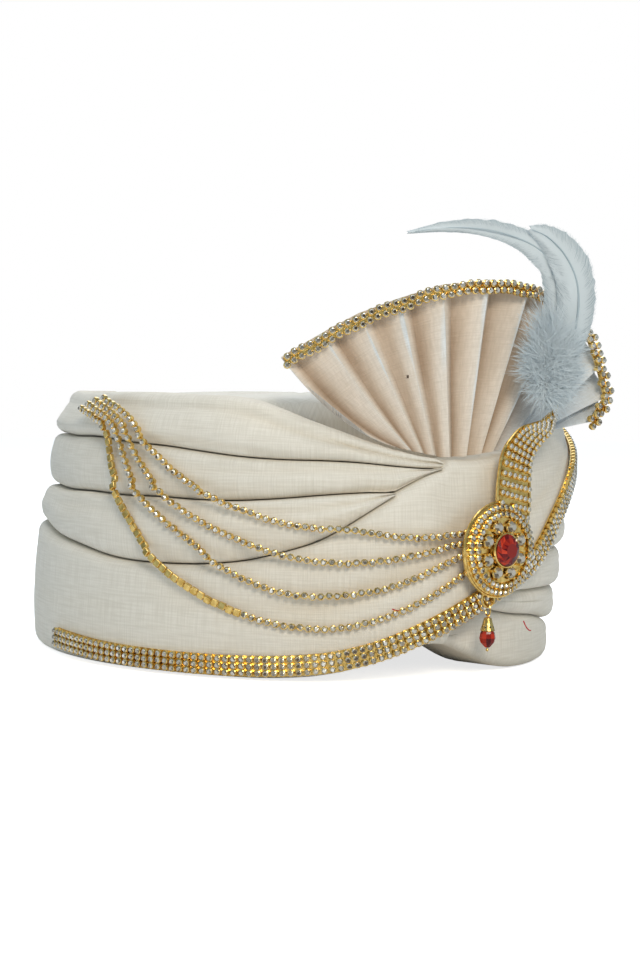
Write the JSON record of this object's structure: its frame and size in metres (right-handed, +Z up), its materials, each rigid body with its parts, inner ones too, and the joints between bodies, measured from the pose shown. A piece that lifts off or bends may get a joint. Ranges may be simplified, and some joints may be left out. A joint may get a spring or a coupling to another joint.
{
  "type": "tied turban",
  "caption": "Wound cream turban standing on its rim, with a pleated fan, a feather, a paisley brooch with a hanging drop, and swagged stone chains.",
  "frame": {"origin": "middle of the overall box at the level the rim stands on", "axes": "-Y to the front, -X to the wearer's right, +Z up"},
  "size_m": [0.2513, 0.3033, 0.2063],
  "materials": {
    "cream_silk": "satin slub weave",
    "fan_silk": "pleated slub weave",
    "gold_plate": "polished",
    "stone_trim": "rows of small stones in cups",
    "red_glass": "cut and polished",
    "clear_glass": "cut and polished",
    "white_feather": "soft barbs"
  },
  "bodies": {
    "turban": {"crown": "cream_silk", "wrap_upper": "cream_silk", "wrap_middle": "cream_silk", "wrap_lower": "cream_silk", "wrap_base": "cream_silk", "front_wrap": "cream_silk", "fan": "fan_silk", "fan_trim": "stone_trim", "rim_band": "stone_trim", "chain_1": "stone_trim", "chain_2": "stone_trim", "chain_3": "stone_trim", "chain_4": "stone_trim", "brooch_plate": "gold_plate", "center_stone": "red_glass", "clear_stone_1": "clear_glass", "clear_stone_2": "clear_glass", "clear_stone_3": "clear_glass", "clear_stone_4": "clear_glass", "clear_stone_5": "clear_glass", "clear_stone_6": "clear_glass", "clear_stone_7": "clear_glass", "clear_stone_8": "clear_glass", "plume": "white_feather", "plume_down": "white_feather"},
    "drop": {"drop_wire": "gold_plate", "drop_cap": "gold_plate", "drop_bead": "red_glass"}
  },
  "joints": [
    {"name": "pendant_swing", "type": "hinge", "parent": "turban", "child": "drop", "pos_m": [-0.01085, -0.14268, 0.03244], "axis": [-1, 0, 0], "range_deg": [-2, 70]}
  ]
}
